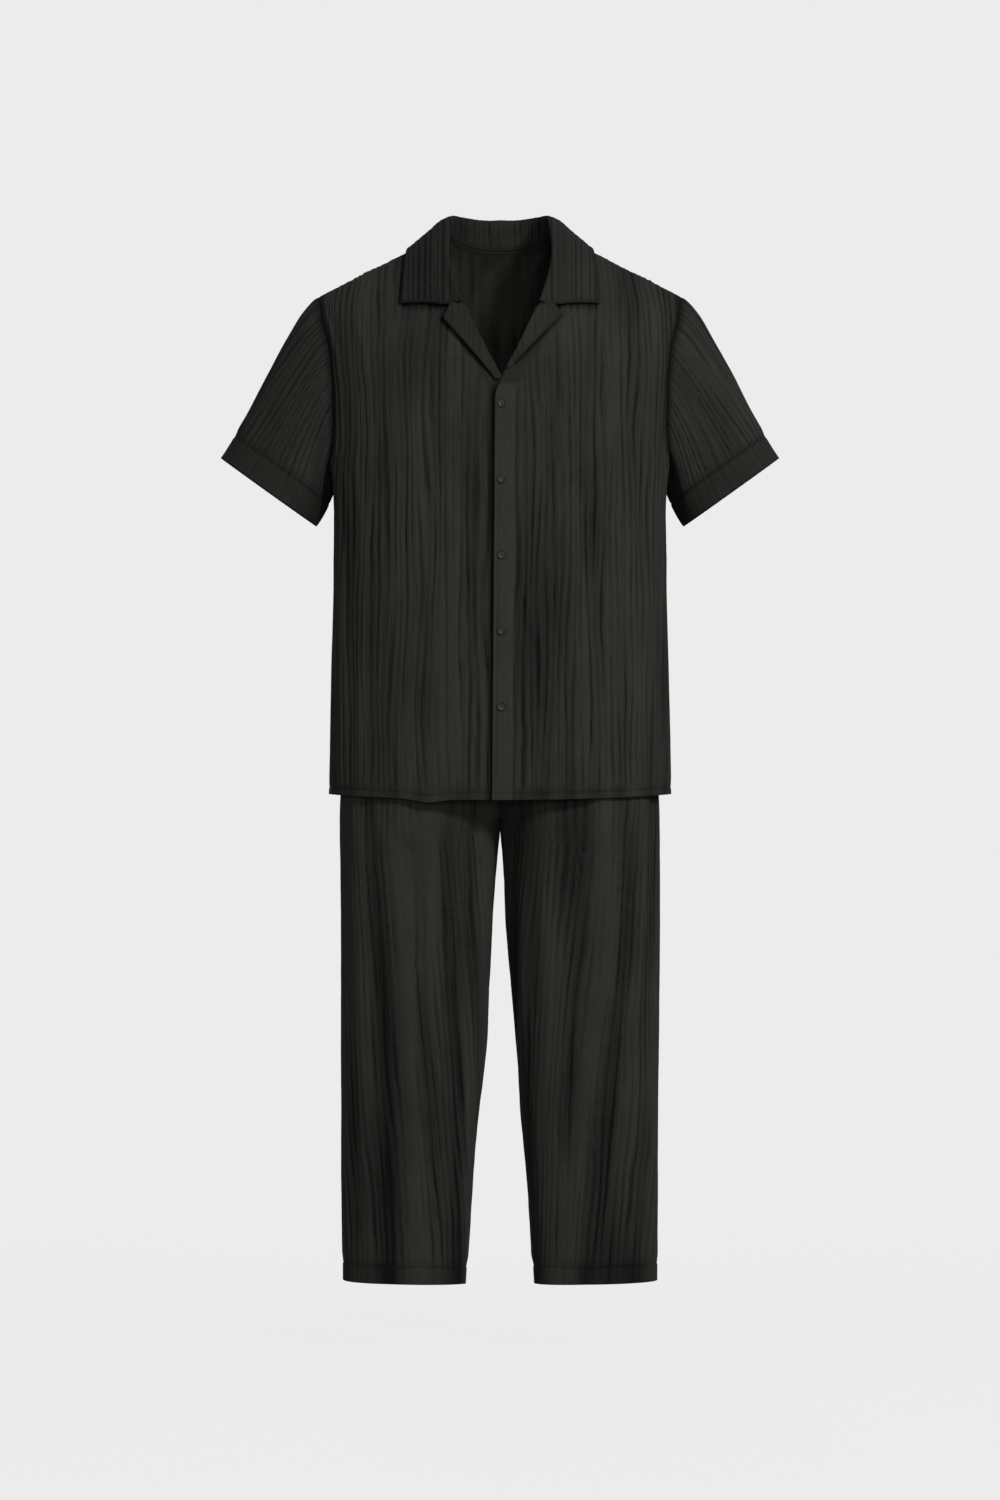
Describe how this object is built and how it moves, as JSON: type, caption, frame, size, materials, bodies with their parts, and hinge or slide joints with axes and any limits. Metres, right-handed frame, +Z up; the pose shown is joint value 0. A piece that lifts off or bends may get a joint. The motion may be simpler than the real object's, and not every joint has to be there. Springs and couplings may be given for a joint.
{
  "type": "shirt and trousers set",
  "caption": "Loose short-sleeved shirt with open collar, lapels and buttoned front, over straight wide-legged trousers, filled out as worn.",
  "frame": {"origin": "midway between the two high shoulder points, where the collar's foot meets the shoulders and the wearer's shoulders hold the shirt", "axes": "+X towards the wearer's left, -Y towards the front, +Z up"},
  "size_m": [0.748, 0.2522, 1.4336],
  "materials": {
    "shirt_back": "matt crinkled double gauze",
    "shirt_front_left": "matt crinkled double gauze",
    "shirt_front_right": "matt crinkled double gauze",
    "shirt_sleeve_left": "matt crinkled double gauze",
    "shirt_sleeve_right": "matt crinkled double gauze",
    "shirt_collar": "matt crinkled double gauze",
    "shirt_lapel_left": "matt crinkled double gauze",
    "shirt_lapel_right": "matt crinkled double gauze",
    "shirt_button_1": "satin dark resin",
    "shirt_button_2": "satin dark resin",
    "shirt_button_3": "satin dark resin",
    "shirt_button_4": "satin dark resin",
    "shirt_button_5": "satin dark resin",
    "trousers_front_left": "matt crinkled double gauze",
    "trousers_front_right": "matt crinkled double gauze",
    "trousers_back_left": "matt crinkled double gauze",
    "trousers_back_right": "matt crinkled double gauze",
    "trousers_waistband": "matt crinkled double gauze"
  },
  "bodies": {
    "root": {"shirt_back": "shirt_back", "shirt_front_left": "shirt_front_left", "shirt_front_right": "shirt_front_right", "shirt_sleeve_left": "shirt_sleeve_left", "shirt_sleeve_right": "shirt_sleeve_right", "shirt_collar": "shirt_collar", "shirt_lapel_left": "shirt_lapel_left", "shirt_lapel_right": "shirt_lapel_right", "shirt_button_1": "shirt_button_1", "shirt_button_2": "shirt_button_2", "shirt_button_3": "shirt_button_3", "shirt_button_4": "shirt_button_4", "shirt_button_5": "shirt_button_5", "trousers_front_left": "trousers_front_left", "trousers_front_right": "trousers_front_right", "trousers_back_left": "trousers_back_left", "trousers_back_right": "trousers_back_right", "trousers_waistband": "trousers_waistband"}
  },
  "joints": []
}
